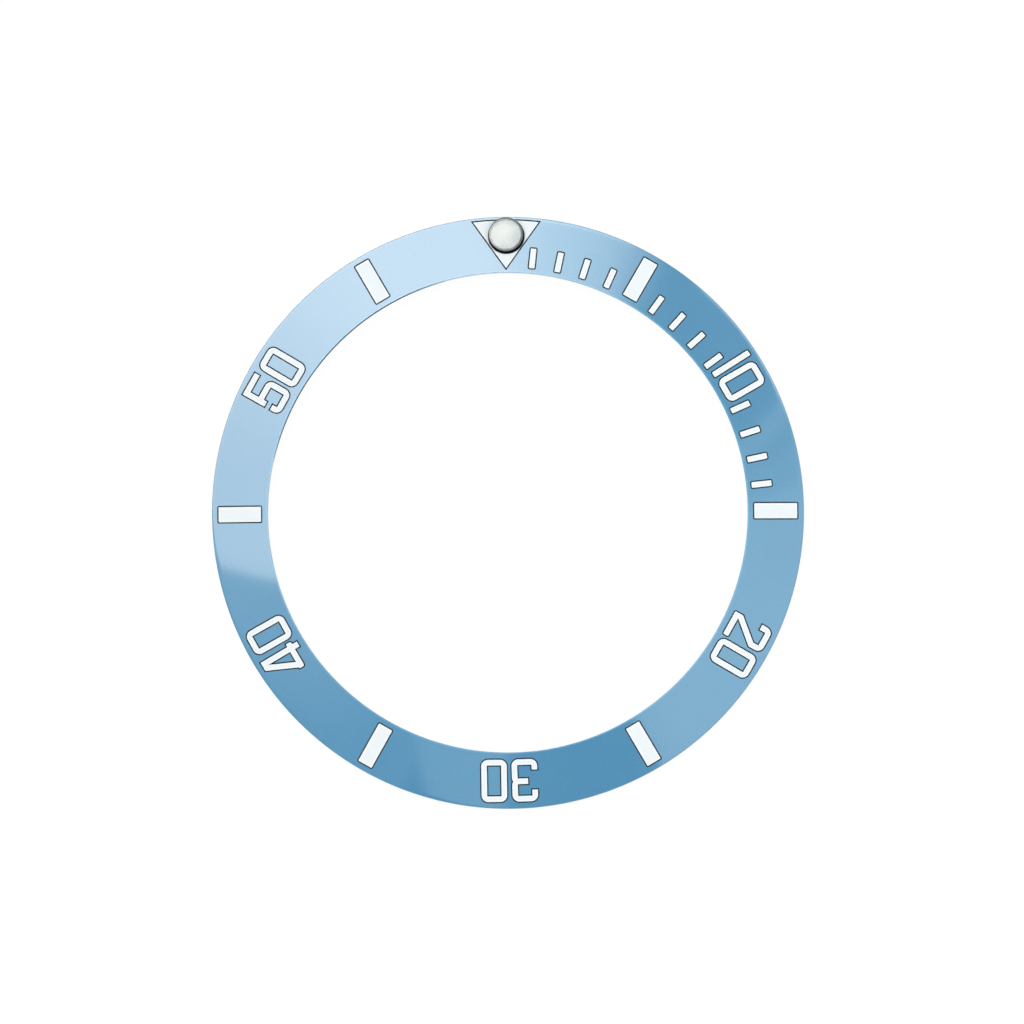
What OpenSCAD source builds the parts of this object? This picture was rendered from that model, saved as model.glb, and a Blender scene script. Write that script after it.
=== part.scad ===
// Watch bezel insert: a sloped ceramic ring with engraved, filled minute marks
// and a luminous pip at twelve o'clock.
// The ring lies on the XY plane, its axis is Z and twelve o'clock is towards +Y.
// Minutes run clockwise as seen from above. All sizes are in millimetres.

/* [Ring] */
// Outer diameter of the ring
ring_od = 38; // [36:0.1:42]
// Width of the ring, from its bore to its outer wall
ring_width = 3.6; // [3.4:0.05:4.5]
// Height at which the sloped face meets the outer wall
rim_height = 1; // [0.8:0.05:2]
// Slope of the top face, falling from the bore to the rim, in degrees
face_slope = 12; // [4:0.5:18]
// Radius of the rounded top edge at the rim
rim_round = 0.25; // [0.1:0.01:0.35]
// Radius of the rounded top edge at the bore
bore_round = 0.1; // [0.05:0.01:0.15]
// Chamfer along both bottom edges
base_chamfer = 0.1; // [0.05:0.01:0.2]

/* [Engraving] */
// Depth of the pockets below the top face
pocket_depth = 0.14; // [0.1:0.01:0.25]
// Depth of the ledge round each pocket, which the fill is level with
ledge_depth = 0.04; // [0.02:0.01:0.07]
// Width of the ledge round each pocket
ledge_width = 0.07; // [0.04:0.005:0.09]
// Radius left in the pocket corners by the engraving
cutter_radius = 0.04; // [0.02:0.01:0.08]

/* [Bars and ticks] */
// Length of a bar
bar_length = 2.74; // [1.8:0.02:2.9]
// Width of a bar
bar_width = 0.97; // [0.5:0.01:1.3]
// Length of a tick
tick_length = 1.27; // [0.8:0.01:1.8]
// Width of a tick
tick_width = 0.36; // [0.2:0.01:0.5]
// Distance of the ticks from the bore
tick_inset = 0.355; // [0.3:0.005:0.6]

/* [Numerals] */
// Height of a digit
digit_height = 2.7; // [2:0.02:2.9]
// Width of a digit
digit_width = 1.64; // [1.3:0.02:1.8]
// Width of the strokes of a digit
stroke = 0.36; // [0.26:0.01:0.4]
// Outer corner radius of the round digits
digit_round = 0.43; // [0.3:0.01:0.5]
// Gap between the two digits of a numeral
digit_gap = 0.325; // [0.26:0.005:0.5]
// Lean of each digit away from the middle of its numeral, in degrees
digit_lean = 0.6; // [0:0.1:1.5]
// Lean of the one, which follows the ticks beside it, in degrees
one_lean = 2.3; // [0:0.1:3.5]

/* [Digit shapes] */
// Length of the short upper end of the two
two_end = 0.78; // [0.5:0.02:1]
// Height of the knee of the two above its middle
two_knee = 0.48; // [0.3:0.02:0.7]
// Shift of the foot of the two to the right
two_foot_shift = 0.07; // [0:0.01:0.15]
// Distance from the left of the foot to where the slanted stroke meets it
two_crotch = 0.31; // [0.2:0.01:0.5]
// Length of the short upper end of the three
three_end = 0.74; // [0.5:0.02:0.9]
// Height of the arm of the three above its middle
three_waist = 0.055; // [0:0.005:0.1]
// Length of the arm of the three
three_arm = 1.03; // [0.7:0.01:1.2]
// Length of the short lower end of the three and the five
lower_end = 0.675; // [0.5:0.005:0.8]
// Height of the bar of the four above its foot
four_bar_height = 0.345; // [0.2:0.005:0.5]
// Reach of the bar of the four past the width of a digit, on both sides
four_bar_reach = 0.065; // [0:0.005:0.1]
// Distance of the stem of the four from the right of the digit
four_stem_inset = 0.126; // [0.05:0.002:0.2]
// Width of the flat head of the four
four_head = 0.594; // [0.45:0.002:0.8]
// Reach of the slanted stroke past the bar of the four, before the corner is rounded
four_toe = 0.09; // [0:0.01:0.15]
// Corner radius of the toe of the four
four_toe_round = 0.12; // [0.05:0.01:0.2]
// Height of the bowl of the five
five_bowl = 1.71; // [1.5:0.01:1.8]
// Length of the upright of the five
five_upright = 1.6; // [1.4:0.01:1.7]
// How much shorter than a digit the top bar of the five is
five_bar_inset = 0.054; // [0:0.002:0.2]

/* [Triangle] */
// Width of the triangle at its outer edge
triangle_width = 4.2; // [3.6:0.05:4.8]
// Distance from the curved edge of the triangle to the outer wall
triangle_rim_gap = 0.24; // [0.16:0.01:0.4]
// Distance from the tip of the triangle to the bore
triangle_bore_gap = 0.29; // [0.22:0.01:0.5]

/* [Pip] */
// Diameter of the metal head of the pip
pip_diameter = 2.26; // [1.9:0.02:2.3]
// Height of the metal head above the top face
pip_height = 0.36; // [0.24:0.01:0.6]
// Distance from the head of the pip to the outer wall
pip_rim_gap = 0.07; // [0.05:0.01:0.15]
// Wall of the metal head round the luminous disc
pip_wall = 0.14; // [0.08:0.01:0.2]
// Rounding of the outer top edge of the head
pip_round = 0.07; // [0.03:0.01:0.1]
// Depth of the flat seat that the head stands in
seat_depth = 0.05; // [0.045:0.005:0.08]
// Diameter of the stem below the head
stem_diameter = 1.6; // [1.2:0.02:1.8]
// Height of the end of the stem above the back of the ring
stem_recess = 0.1; // [0.05:0.01:0.4]
// Floor of the cup above the top face
cup_floor = 0.02; // [0:0.01:0.1]
// Thickness of the luminous disc
lume_thickness = 0.16; // [0.08:0.01:0.3]
// Thickness of the edge of the lens
lens_edge = 0.14; // [0.08:0.01:0.3]
// Rise of the lens from its edge to its middle
lens_rise = 0.12; // [0.05:0.01:0.2]
// Clearance round the stem, the head and the lens
pip_clearance = 0.02; // [0.01:0.005:0.04]

/* [Hidden] */
ring_facets = 240;
small_facets = 48;
edge_steps = 6;
outer_radius = ring_od / 2;
bore_radius = outer_radius - ring_width;
mid_radius = outer_radius - ring_width / 2;
triangle_arc_radius = outer_radius - triangle_rim_gap;
triangle_tip_radius = bore_radius + triangle_bore_gap;
tick_radius = bore_radius + tick_inset + tick_length / 2;
pip_radius = outer_radius - pip_rim_gap - pip_diameter / 2;
seat_radius = pip_diameter / 2 + pip_clearance;
cup_radius = pip_diameter / 2 - pip_wall;
// Height of the middle of the end of the stem, whose lowest edge is at the recess
stem_end_z = stem_recess + stem_diameter / 2 * sin(face_slope);
// Length of the stem along its own axis, from the top face to its end
stem_length = (face_z(pip_radius) - stem_end_z) / cos(face_slope);
// Taller than the ring
reach = 2 * (rim_height + ring_width);
// How far the cutters stand above the top face
headroom = 0.5;
bar_minutes = [5, 15, 25, 35, 45, 55];
tick_minutes = [1, 2, 3, 4, 6, 7, 8, 9, 11, 12, 13, 14];
numeral_minutes = [10, 20, 30, 40, 50];
// Small turn of each numeral about its own middle, in degrees
numeral_turn = [0, 0, -0.8, 0.7, 0.5];

// Height of the sloped face at a given radius
function face_z(r) = rim_height + (outer_radius - r) * tan(face_slope);

// Places on the ring

// Turns a flat shape to a minute and moves it out to a radius
module at_minute(minute, radius) {
    rotate(-6 * minute)
        translate([0, radius])
            children();
}

// Upright cutter with the outline of its children, from a depth below the face up
module engraved(depth) {
    intersection() {
        linear_extrude(reach) children();
        above_face(depth);
    }
}

// Everything from the top face lowered by depth up to just above the face
module above_face(depth) {
    near = bore_radius / 2;
    far = outer_radius + ring_width;
    rotate_extrude($fn = ring_facets)
        polygon([
            [near, face_z(near) - depth],
            [far, face_z(far) - depth],
            [far, face_z(far) + headroom],
            [near, face_z(near) + headroom]
        ]);
}

// Everything between two depths below the top face
module fill_layer() {
    difference() {
        above_face(pocket_depth);
        above_face(ledge_depth);
    }
}

// Frame of the pip: its origin is on the top face and its Z is square to the face
module at_pip() {
    translate([0, pip_radius, face_z(pip_radius)])
        rotate([-face_slope, 0, 0])
            children();
}

// Outlines of the marks, each of which can grow on all sides

module rounded_box(width, height, radius) {
    square([width - 2 * radius, height], center = true);
    square([width, height - 2 * radius], center = true);
    for (x = [-1, 1], y = [-1, 1])
        translate([x * (width / 2 - radius), y * (height / 2 - radius)])
            circle(radius, $fn = small_facets);
}

// Upright box between two corners, grown on all sides
module span(x1, y1, x2, y2, grow) {
    translate([x1 - grow, y1 - grow])
        square([x2 - x1 + 2 * grow, y2 - y1 + 2 * grow]);
}

module bar_outline(grow) {
    rounded_box(bar_width + 2 * grow, bar_length + 2 * grow, cutter_radius + grow);
}

module tick_outline(grow) {
    rounded_box(tick_width + 2 * grow, tick_length + 2 * grow, cutter_radius + grow);
}

module triangle_outline(grow) {
    half = triangle_width / 2;
    side_y = sqrt(pow(triangle_arc_radius, 2) - pow(half, 2));
    lean = atan(half / (side_y - triangle_tip_radius));
    tip_y = triangle_tip_radius - grow / sin(lean);
    top_y = triangle_arc_radius + ring_width;
    top_half = (top_y - tip_y) * tan(lean);
    intersection() {
        polygon([[0, tip_y], [top_half, top_y], [-top_half, top_y]]);
        circle(triangle_arc_radius + grow, $fn = ring_facets);
    }
}

// Closed round form that the round digits are cut from
module bowl(bottom, top, grow) {
    translate([0, (bottom + top) / 2])
        rounded_box(digit_width + 2 * grow, top - bottom + 2 * grow, digit_round + grow);
}

module zero_outline(grow) {
    difference() {
        bowl(-digit_height / 2, digit_height / 2, grow);
        square([digit_width - 2 * stroke - 2 * grow, digit_height - 2 * stroke - 2 * grow],
            center = true);
    }
}

module one_outline(grow) {
    rounded_box(stroke + 2 * grow, digit_height + 2 * grow, cutter_radius + grow);
}

module two_outline(grow) {
    right = digit_width / 2;
    top = digit_height / 2;
    foot_left = two_foot_shift - right;
    foot_right = two_foot_shift + right;
    foot_top = stroke - top;
    // The slanted stroke leaves the right side at the knee and ends in the foot
    crotch = foot_left + two_crotch;
    slant = atan((right - crotch) / (two_knee - foot_top));
    edge = grow / cos(slant);
    across = stroke / cos(slant) + 2 * edge;
    run = digit_height * tan(slant);
    intersection() {
        bowl(-top, top, grow);
        union() {
            span(-right, top - two_end, stroke - right, top, grow);
            span(-right, top - stroke, right, top, grow);
            span(right - stroke, two_knee, right, top, grow);
        }
    }
    intersection() {
        span(foot_left, -top, right, two_knee + stroke / 2, grow);
        polygon([
            [crotch + edge - across, foot_top],
            [crotch + edge, foot_top],
            [crotch + edge + run, foot_top + digit_height],
            [crotch + edge - across + run, foot_top + digit_height]
        ]);
    }
    translate([(foot_left + foot_right) / 2, stroke / 2 - top])
        rounded_box(foot_right - foot_left + 2 * grow, stroke + 2 * grow,
            2 * cutter_radius + grow);
    // Joins the left end of the foot to the slanted stroke above it
    span(foot_left, stroke / 2 - top, crotch, foot_top + stroke / 2 - grow, grow);
}

module three_outline(grow) {
    right = digit_width / 2;
    top = digit_height / 2;
    arm_bottom = three_waist - stroke / 2;
    arm_top = three_waist + stroke / 2;
    intersection() {
        bowl(arm_bottom, top, grow);
        union() {
            span(-right, top - three_end, stroke - right, top, grow);
            span(-right, top - stroke, right, top, grow);
            span(right - stroke, arm_bottom, right, top, grow);
            span(right - three_arm, arm_bottom, right, arm_top, grow);
        }
    }
    intersection() {
        bowl(-top, arm_top, grow);
        lower_bowl(arm_top, grow);
    }
}

// Strokes of the lower bowl of the three and the five, open at the left
module lower_bowl(bowl_top, grow) {
    right = digit_width / 2;
    top = digit_height / 2;
    span(right - stroke, -top, right, bowl_top, grow);
    span(-right, -top, right, stroke - top, grow);
    span(-right, -top, stroke - right, lower_end - top, grow);
}

module four_outline(grow) {
    right = digit_width / 2;
    top = digit_height / 2;
    stem_right = right - four_stem_inset;
    bar_right = right + four_bar_reach;
    bar_bottom = four_bar_height - top;
    // The slanted stroke runs up from the toe to the head
    head_left = stem_right - four_head;
    toe = -bar_right - four_toe;
    slant = atan((head_left - toe) / (top - bar_bottom));
    across = stroke / cos(slant);
    edge = grow / cos(slant);
    rise = grow * tan(slant);
    span(stem_right - stroke, -top, stem_right, top, grow);
    intersection() {
        translate([0, (bar_bottom + top) / 2])
            rounded_box(2 * (bar_right + grow), top - bar_bottom + 2 * grow,
                four_toe_round + grow);
        union() {
            span(-bar_right, bar_bottom, bar_right, bar_bottom + stroke, grow);
            polygon([
                [toe - edge - rise, bar_bottom - grow],
                [toe + across + edge - rise, bar_bottom - grow],
                [head_left + across + edge + rise, top + grow],
                [head_left - edge + rise, top + grow]
            ]);
        }
    }
}

module five_outline(grow) {
    right = digit_width / 2;
    top = digit_height / 2;
    bowl_top = five_bowl - top;
    span(-right, top - five_upright, stroke - right, top, grow);
    span(-right, top - stroke, right - five_bar_inset, top, grow);
    span(-right, bowl_top - stroke, 0, bowl_top, grow);
    intersection() {
        bowl(-top, bowl_top, grow);
        union() {
            span(-right, bowl_top - stroke, right, bowl_top, grow);
            lower_bowl(bowl_top, grow);
        }
    }
}

// Place of a digit of numeral number i: side is -1 for its left digit and 1 for its right
module digit_place(i, side) {
    at_minute(numeral_minutes[i], mid_radius)
        rotate(-numeral_turn[i])
            translate([side * (digit_width + digit_gap) / 2, 0])
                rotate(-side * digit_lean)
                    children();
}

// The one is a bare stroke, so the digits of the ten are closer to its middle
module one_place() {
    at_minute(numeral_minutes[0], mid_radius)
        translate([-(digit_width + digit_gap) / 2, 0])
            rotate(one_lean)
                children();
}

module ten_zero_place() {
    at_minute(numeral_minutes[0], mid_radius)
        translate([(stroke + digit_gap) / 2, 0])
            children();
}

// Cutters of all the marks, taken down to a depth
module cut_marks(depth, grow) {
    engraved(depth) triangle_outline(grow);
    for (minute = bar_minutes) engraved(depth) at_minute(minute, mid_radius) bar_outline(grow);
    for (minute = tick_minutes) engraved(depth) at_minute(minute, tick_radius) tick_outline(grow);
    engraved(depth) one_place() one_outline(grow);
    engraved(depth) ten_zero_place() zero_outline(grow);
    engraved(depth) digit_place(1, -1) two_outline(grow);
    engraved(depth) digit_place(2, -1) three_outline(grow);
    engraved(depth) digit_place(3, -1) four_outline(grow);
    engraved(depth) digit_place(4, -1) five_outline(grow);
    for (i = [1:4]) engraved(depth) digit_place(i, 1) zero_outline(grow);
}

// Points of a rounded edge, from one direction to another
function arc(centre, radius, from, to) = [
    for (i = [0:edge_steps])
        centre + radius * [cos(from + (to - from) * i / edge_steps),
            sin(from + (to - from) * i / edge_steps)]
];

// Section of the ring, with a rounded top edge at the rim and at the bore
module ring_section() {
    rim_centre = [outer_radius - rim_round,
        face_z(outer_radius - rim_round) - rim_round / cos(face_slope)];
    bore_centre = [bore_radius + bore_round,
        face_z(bore_radius + bore_round) - bore_round / cos(face_slope)];
    polygon(concat(
        [
            [bore_radius, base_chamfer],
            [bore_radius + base_chamfer, 0],
            [outer_radius - base_chamfer, 0],
            [outer_radius, base_chamfer]
        ],
        arc(rim_centre, rim_round, 0, 90 - face_slope),
        arc(bore_centre, bore_round, 90 - face_slope, 180)
    ));
}

// Sub-parts

module bezel_ring() {
    color([0.45, 0.65, 0.8])
        difference() {
            engrave(pocket_depth, 0)
                engrave(ledge_depth, ledge_width)
                    rotate_extrude($fn = ring_facets) ring_section();
            at_pip() pip_hole();
        }
}

// Cuts all the marks into a blank, down to a depth
module engrave(depth, grow) {
    difference() {
        children();
        cut_marks(depth, grow);
    }
}

// Seat and through hole for the pip
module pip_hole() {
    translate([0, 0, -seat_depth])
        cylinder(h = seat_depth + headroom, r = seat_radius, $fn = small_facets);
    translate([0, 0, -reach])
        cylinder(h = reach + headroom, d = stem_diameter + 2 * pip_clearance, $fn = small_facets);
}

// Fill of one pocket
module inlay() {
    color([0.95, 0.97, 0.98])
        intersection() {
            linear_extrude(reach) children();
            fill_layer();
        }
}

module triangle_inlay() {
    color([0.95, 0.97, 0.98])
        difference() {
            inlay() triangle_outline(0);
            at_pip() pip_hole();
        }
}

module bar_inlay(minute) {
    inlay() at_minute(minute, mid_radius) bar_outline(0);
}

module tick_inlay(minute) {
    inlay() at_minute(minute, tick_radius) tick_outline(0);
}

module pip_cup() {
    head_radius = pip_diameter / 2;
    color([0.75, 0.75, 0.74])
        at_pip()
            difference() {
                union() {
                    rotate_extrude($fn = small_facets) {
                        polygon([
                            [0, -seat_depth],
                            [head_radius, -seat_depth],
                            [head_radius, pip_height - pip_round],
                            [head_radius - pip_round, pip_height - pip_round],
                            [head_radius - pip_round, pip_height],
                            [0, pip_height]
                        ]);
                        translate([head_radius - pip_round, pip_height - pip_round])
                            circle(pip_round, $fn = small_facets);
                    }
                    translate([0, 0, -stem_length])
                        cylinder(h = stem_length, d = stem_diameter, $fn = small_facets);
                }
                translate([0, 0, cup_floor])
                    cylinder(h = pip_height, r = cup_radius, $fn = small_facets);
            }
}

module pip_lume() {
    color([0.88, 0.92, 0.86])
        at_pip()
            translate([0, 0, cup_floor])
                cylinder(h = lume_thickness, r = cup_radius, $fn = small_facets);
}

module pip_lens() {
    lens_radius = cup_radius - pip_clearance;
    curve = (pow(lens_radius, 2) + pow(lens_rise, 2)) / (2 * lens_rise);
    color([0.9, 0.93, 0.9, 0.6])
        at_pip()
            translate([0, 0, cup_floor + lume_thickness])
                intersection() {
                    cylinder(h = lens_edge + lens_rise, r = lens_radius, $fn = small_facets);
                    translate([0, 0, lens_edge + lens_rise - curve])
                        sphere(curve, $fn = 2 * ring_facets);
                }
}

bezel_ring();
triangle_inlay();
bar_inlay(5);  // bar_inlay_05
bar_inlay(15);  // bar_inlay_15
bar_inlay(25);  // bar_inlay_25
bar_inlay(35);  // bar_inlay_35
bar_inlay(45);  // bar_inlay_45
bar_inlay(55);  // bar_inlay_55
tick_inlay(1);  // tick_inlay_01
tick_inlay(2);  // tick_inlay_02
tick_inlay(3);  // tick_inlay_03
tick_inlay(4);  // tick_inlay_04
tick_inlay(6);  // tick_inlay_06
tick_inlay(7);  // tick_inlay_07
tick_inlay(8);  // tick_inlay_08
tick_inlay(9);  // tick_inlay_09
tick_inlay(11);  // tick_inlay_11
tick_inlay(12);  // tick_inlay_12
tick_inlay(13);  // tick_inlay_13
tick_inlay(14);  // tick_inlay_14
inlay() one_place() one_outline(0);  // numeral_10_one
inlay() ten_zero_place() zero_outline(0);  // numeral_10_zero
inlay() digit_place(1, -1) two_outline(0);  // numeral_20_two
inlay() digit_place(1, 1) zero_outline(0);  // numeral_20_zero
inlay() digit_place(2, -1) three_outline(0);  // numeral_30_three
inlay() digit_place(2, 1) zero_outline(0);  // numeral_30_zero
inlay() digit_place(3, -1) four_outline(0);  // numeral_40_four
inlay() digit_place(3, 1) zero_outline(0);  // numeral_40_zero
inlay() digit_place(4, -1) five_outline(0);  // numeral_50_five
inlay() digit_place(4, 1) zero_outline(0);  // numeral_50_zero
pip_cup();
pip_lume();
pip_lens();
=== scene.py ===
# Looks of the watch bezel insert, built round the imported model.
# Sizes are in millimetres until a mesh is made, and in metres from there on.
import math

import bpy
import numpy as np
from mathutils import Matrix, Vector, geometry


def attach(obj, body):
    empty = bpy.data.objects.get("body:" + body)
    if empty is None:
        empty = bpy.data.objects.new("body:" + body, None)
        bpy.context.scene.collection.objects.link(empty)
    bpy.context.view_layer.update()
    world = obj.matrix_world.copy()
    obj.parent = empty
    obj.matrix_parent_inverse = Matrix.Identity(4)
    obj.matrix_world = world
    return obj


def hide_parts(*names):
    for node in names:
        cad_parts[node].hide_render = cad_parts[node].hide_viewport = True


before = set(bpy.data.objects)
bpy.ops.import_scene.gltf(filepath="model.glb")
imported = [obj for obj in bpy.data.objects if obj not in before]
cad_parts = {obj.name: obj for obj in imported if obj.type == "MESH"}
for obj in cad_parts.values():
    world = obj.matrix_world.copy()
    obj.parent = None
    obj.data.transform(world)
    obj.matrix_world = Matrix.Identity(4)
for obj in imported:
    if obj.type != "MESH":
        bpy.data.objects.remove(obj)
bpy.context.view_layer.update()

MM = 0.001

# The ring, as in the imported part
OUTER = 19.0
WIDTH = 3.6
BORE = OUTER - WIDTH
MIDDLE = OUTER - WIDTH / 2
RIM_HEIGHT = 1.0
SLOPE = math.radians(12)
CHAMFER = 0.1
POCKET_DEPTH = 0.14
LEDGE_DEPTH = 0.04
LEDGE_WIDTH = 0.07

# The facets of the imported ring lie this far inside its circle, and the looks stay inside them
TRIM = 0.006
EDGE = OUTER - TRIM

# Finish of the polished face, which is slightly crowned and rolls off at the rim
CROWN = math.radians(1.0)
ROLL = math.radians(5)
ROLL_WIDTH = 0.25
RIM_ROUND = 0.05
BORE_ROUND = 0.03
# Width of the strip at the bore whose ceramic is painted paler, a painted highlight of its rounded
# edge
PAINTED_BORE_HIGHLIGHT_WIDTH = 0.1

# Finish of the marks: rounded edge of the engraving, dark outline, and dished fill
MARK_ROUND = 0.008
OUTLINE = LEDGE_WIDTH + 0.012
DISH = 0.012
DISH_WIDTH = 0.07
# Width over which the border of a fill is painted whiter, a painted highlight
BORDER_HIGHLIGHT_WIDTH = 0.16

# The pip, in a frame of its own with its origin on the face
PIP_DISTANCE = 17.8
PIP_HEAD = 1.12
PIP_HEIGHT = 0.36
PIP_WALL = 0.15
PIP_ROUND = 0.06
PIP_NECK = 1.06
PIP_FOOT = 1.18
FOOT_TOP = 0.012
SEAT_DEPTH = 0.05
SEAT_RADIUS = 1.185
STEM_RADIUS = 0.8
STEM_HOLE = 0.82
# Height above the back at which the stem ends
STEM_END = 0.1
NECK_TOP = PIP_HEIGHT / 4
CUP_FLOOR = 0.02
CUP_RADIUS = PIP_HEAD - PIP_WALL
# Fall of the lip towards its outside, and start of its round, in degrees
LIP_SLOPE = 6
LIP_START = -50
LUME_EDGE = 0.29
LUME_RISE = 0.06
LENS_RADIUS = CUP_RADIUS - 0.01
LENS_EDGE = 0.33
LENS_RISE = 0.11
LENS_GAP = 0.003
# The dark foot and its seat lie this far off centre, towards five o'clock, so that more of the
# foot's painted shade lies where the pip's shadow falls
FOOT_SHADOW_SHIFT = (0.02, -0.035)
# The cutter of the pip's seat and hole reaches this far above the face and below it
CUTTER_TOP = 1.0
CUTTER_DEPTH = 3.0

# Fineness of the meshes
AROUND = 720
FACE_AROUND = 360
FINE_WIDTH = 0.35
EDGE_STEP = 0.2
PAINT_STEP = 0.07
MARK_ROUND_STEPS = 5
PIP_AROUND = 128
ARC_STEPS = 9
CAP_STEPS = 17
LENS_STEPS = 25
TRIANGLE_STEPS = 25
# Points of the ring's section while it is worked out. Then its points over the edge of the
# bore, the face and the edge of the rim, in the table that surface() reads and in the mesh.
SECTION_POINTS = 2001
FINE_POINTS = (61, 400, 121)
MESH_POINTS = (12, 20, 14)

# Least distance of the points of a grid from the outlines in it
FACE_CLEARANCE = EDGE_STEP / 8
PAINT_CLEARANCE = PAINT_STEP / 3

# Corners that agree to so many decimals of a millimetre are one
OUTLINE_DECIMALS = 4
MESH_DECIMALS = 5
# A corner of an outline turns by more than this, and a sharp edge of a mesh too
LEAST_TURN = math.radians(0.5)
SHARP_ANGLE = math.radians(40)
# What keeps a comparison or a division safe from rounding
CLOSE = 1e-6
TINY = 1e-9
TINY_SQUARE = 1e-12

# Directions in the section of a turned surface: outwards from the axis, and up
UP, DOWN, OUT, IN = (0, 1), (0, -1), (1, 0), (-1, 0)

# Slots of the ring's materials
POLISHED, GROUND, DARK_ENGRAVING, PAINTED_BORE_HIGHLIGHT, WALL = range(5)


# The top of the ring


def face_height(radius):
    return RIM_HEIGHT + (OUTER - radius) * math.tan(SLOPE)


def rounded(centre_r, centre_z, radius, start, end, count):
    """Points of a rounded edge by the tilt of their normals: radius, height and tilt."""
    tilt = np.linspace(start, end, count)
    return centre_r + radius * np.sin(tilt), centre_z + radius * np.cos(tilt), tilt


def face_section(bore_points, face_points, rim_points):
    """Top of the ring, from the bore to the outer wall: radius, height and tilt of the normal."""
    inner_tilt = SLOPE - CROWN
    outer_tilt = SLOPE + CROWN + ROLL
    start = BORE + BORE_ROUND * (1 + math.sin(inner_tilt))
    end = EDGE - RIM_ROUND * (1 - math.sin(outer_tilt))
    share = np.linspace(0, 1, SECTION_POINTS)
    radius = start + (end - start) * share
    roll = np.clip((radius - end + ROLL_WIDTH) / ROLL_WIDTH, 0, 1)
    tilt = inner_tilt + 2 * CROWN * share + ROLL * roll ** 3
    step = np.tan((tilt[1:] + tilt[:-1]) / 2) * np.diff(radius)
    height = -np.concatenate([[0], np.cumsum(step)])
    height += face_height(MIDDLE) - np.interp(MIDDLE, radius, height)
    # Rings lie closer together towards both ends, and one of them bounds the strip at the bore that
    # is painted paler as a painted highlight
    picked = (1 - np.cos(np.linspace(0, math.pi, face_points))) / 2
    picked = np.sort(np.append(np.interp(picked, share, radius), BORE + PAINTED_BORE_HIGHLIGHT_WIDTH))
    face = picked, np.interp(picked, radius, height), np.interp(picked, radius, tilt)
    bore_z = height[0] - BORE_ROUND * math.cos(inner_tilt)
    rim_z = height[-1] - RIM_ROUND * math.cos(outer_tilt)
    quarter = math.pi / 2
    bore = rounded(BORE + BORE_ROUND, bore_z, BORE_ROUND, -quarter, inner_tilt, bore_points)
    rim = rounded(EDGE - RIM_ROUND, rim_z, RIM_ROUND, outer_tilt, quarter, rim_points)
    return [np.concatenate([a[:-1], b, c[1:]]) for a, b, c in zip(bore, face, rim)]


TOP_RADIUS, TOP_HEIGHT, TOP_TILT = face_section(*FINE_POINTS)


def surface(plan, depth=0.0):
    """Points on the top of the ring, lowered by a depth, over points in plan."""
    radius = np.hypot(plan[:, 0], plan[:, 1])
    return np.column_stack([plan, np.interp(radius, TOP_RADIUS, TOP_HEIGHT) - depth])


def surface_normal(plan):
    radius = np.hypot(plan[:, 0], plan[:, 1])
    tilt = np.interp(radius, TOP_RADIUS, TOP_TILT)
    out = plan / radius[:, None]
    return np.column_stack([out * np.sin(tilt)[:, None], np.cos(tilt)])


def circle(radius, count=AROUND):
    angle = np.arange(count) * 2 * math.pi / count
    return np.column_stack([radius * np.cos(angle), radius * np.sin(angle)])


# Outlines in plan of the marks. What they enclose lies to the left of them.


def mark_outlines(node):
    """Closed outlines of the top of a packed fill."""
    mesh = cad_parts[node].data
    points = np.array([v.co for v in mesh.vertices]) / MM
    first = {}
    places = [tuple(np.round(p, OUTLINE_DECIMALS)) for p in points]
    same = [first.setdefault(place, i) for i, place in enumerate(places)]
    radius = np.hypot(points[:, 0], points[:, 1])
    depth = face_height(radius) - points[:, 2]
    tolerance = LEDGE_DEPTH / 10
    on_top = np.abs(depth - LEDGE_DEPTH) < tolerance
    edges = set()
    for polygon in mesh.polygons:
        corners = [same[i] for i in polygon.vertices]
        if all(on_top[i] for i in corners):
            edges |= set(zip(corners, corners[1:] + corners[:1]))
    border = {a: b for a, b in edges if (b, a) not in edges}
    found = []
    while border:
        a, b = border.popitem()
        loop = [a]
        while b != loop[0]:
            loop.append(b)
            b = border.pop(b)
        found.append(tidied(points[loop][:, :2]))
    return found


def tidied(loop):
    """The outline without the points that lie on its straight stretches."""
    along = np.roll(loop, -1, 0) - loop
    angle = np.arctan2(along[:, 1], along[:, 0])
    turn = (angle - np.roll(angle, 1) + math.pi) % (2 * math.pi) - math.pi
    return loop[np.abs(turn) > LEAST_TURN]


def whole_triangle(loop):
    """The triangle without the bite that the seat of the pip takes out of its outer edge."""
    radius = np.hypot(loop[:, 0], loop[:, 1])
    edge = radius.max()
    beside = np.abs(loop[:, 0])
    # Both outer corners lie on the outer edge, and nearly furthest from the middle
    tolerance = 0.001
    nearly = 0.98
    corners = loop[(np.abs(radius - edge) < tolerance) & (beside > nearly * beside.max())]
    left = corners[corners[:, 0].argmin()]
    right = corners[corners[:, 0].argmax()]
    tip = loop[loop[:, 1].argmin()]
    start = math.atan2(right[1], right[0])
    end = math.atan2(left[1], left[0])
    angles = np.linspace(start, end, TRIANGLE_STEPS)
    return np.concatenate([[tip], edge * np.column_stack([np.cos(angles), np.sin(angles)])])


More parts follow.
